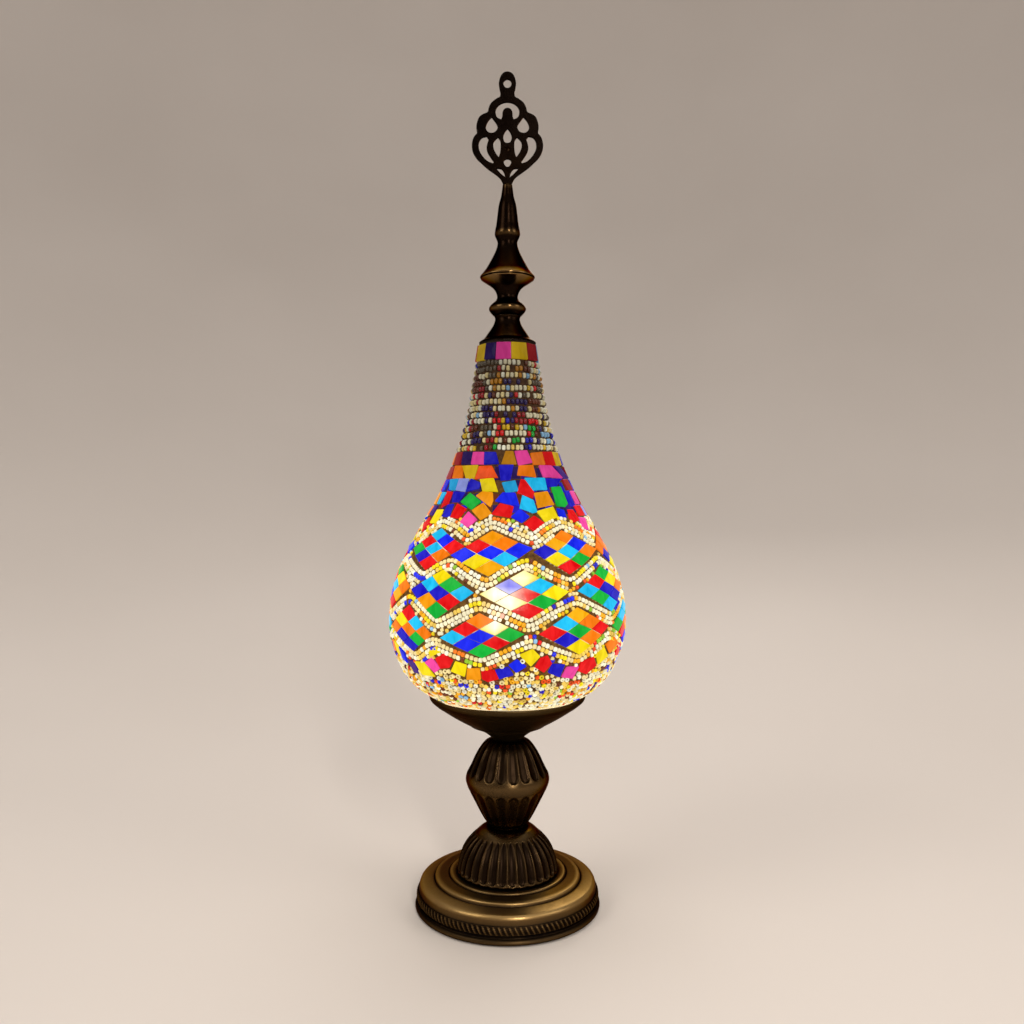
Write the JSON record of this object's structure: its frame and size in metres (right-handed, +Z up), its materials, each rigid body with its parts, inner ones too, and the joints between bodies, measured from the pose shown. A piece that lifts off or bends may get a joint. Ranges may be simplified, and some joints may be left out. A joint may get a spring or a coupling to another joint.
{
  "type": "mosaic glass table lamp",
  "caption": "Table lamp with a bottle-shaped mosaic glass shade on a fluted antique-brass foot, a lift-off shade, a screw-in bulb and a pierced finial.",
  "frame": {"origin": "on the table, under the centre of the foot", "axes": "+Z up along the stem; the pierced ornament lies in the XZ plane, its front face towards -Y; the cord inlet is at +Y"},
  "size_m": [0.1728, 0.1728, 0.6077],
  "materials": {
    "antique_brass": "antiqued, satin, rubbed bright on edges",
    "dark_brass": "antiqued dark, flutes nearly black",
    "finial_brass": "antiqued dark brown, soft gloss",
    "cast_iron": "rough cast",
    "zinc_steel": "zinc plated",
    "contact_brass": "plain nickel-free brass",
    "felt": "pressed felt",
    "rubber": "matte",
    "holder_plastic": "moulded",
    "porcelain": "unglazed white",
    "lead_brown": "brown insulation",
    "lead_blue": "blue insulation",
    "bulb_glass": "pearl, lit warm white",
    "bulb_black": "vitrified black",
    "filament": "glowing",
    "clear_glass": "hand blown, clear",
    "tile_glass": "cut coloured glass in brown grout, glossy",
    "bead_glass": "seed beads in brown grout, glossy"
  },
  "bodies": {
    "base": {"felt_pad": "felt", "base_shell": "antique_brass", "ballast_weight": "cast_iron", "cord_bush": "rubber", "bottom_washer": "zinc_steel", "bottom_nut": "zinc_steel", "threaded_tube": "zinc_steel", "fluted_dome": "dark_brass", "stem_vase": "dark_brass", "gallery_dish": "dark_brass", "gallery_gasket": "rubber", "gallery_washer": "zinc_steel", "gallery_nut": "zinc_steel", "holder_body": "holder_plastic", "holder_insert": "porcelain", "screw_shell": "contact_brass", "centre_contact": "contact_brass", "terminal_screw_live": "contact_brass", "terminal_screw_neutral": "contact_brass", "lead_live": "lead_brown", "lead_neutral": "lead_blue"},
    "bulb": {"bulb_glass": "bulb_glass", "bulb_cap": "contact_brass", "bulb_insulator": "bulb_black", "bulb_tip_contact": "zinc_steel", "filament_stem": "clear_glass", "filament": "filament"},
    "shade": {"glass_globe": "clear_glass", "foot_bead_band": "bead_glass", "lower_tile_row": "tile_glass", "lozenge_net_band": "tile_glass", "shoulder_tile_band": "tile_glass", "neck_bead_band": "bead_glass", "collar_tile_row": "tile_glass", "neck_crossbar": "zinc_steel", "crossbar_nut": "zinc_steel", "tie_rod": "zinc_steel", "neck_gasket": "rubber"},
    "finial": {"cap_bell": "finial_brass", "finial_collar": "finial_brass", "spire": "finial_brass", "filigree_ornament": "finial_brass"}
  },
  "joints": [
    {"name": "shade_lift", "type": "slide", "parent": "base", "child": "shade", "axis": [0, 0, 1], "range_m": [0, 0.12]},
    {"name": "bulb_turn", "type": "hinge", "parent": "base", "child": "bulb", "pos_m": [0, 0, 0.17], "axis": [0, 0, 1], "range_deg": [0, 900]},
    {"name": "finial_turn", "type": "hinge", "parent": "shade", "child": "finial", "pos_m": [0, 0, 0.43], "axis": [0, 0, 1], "range_deg": [0, 2970]}
  ]
}
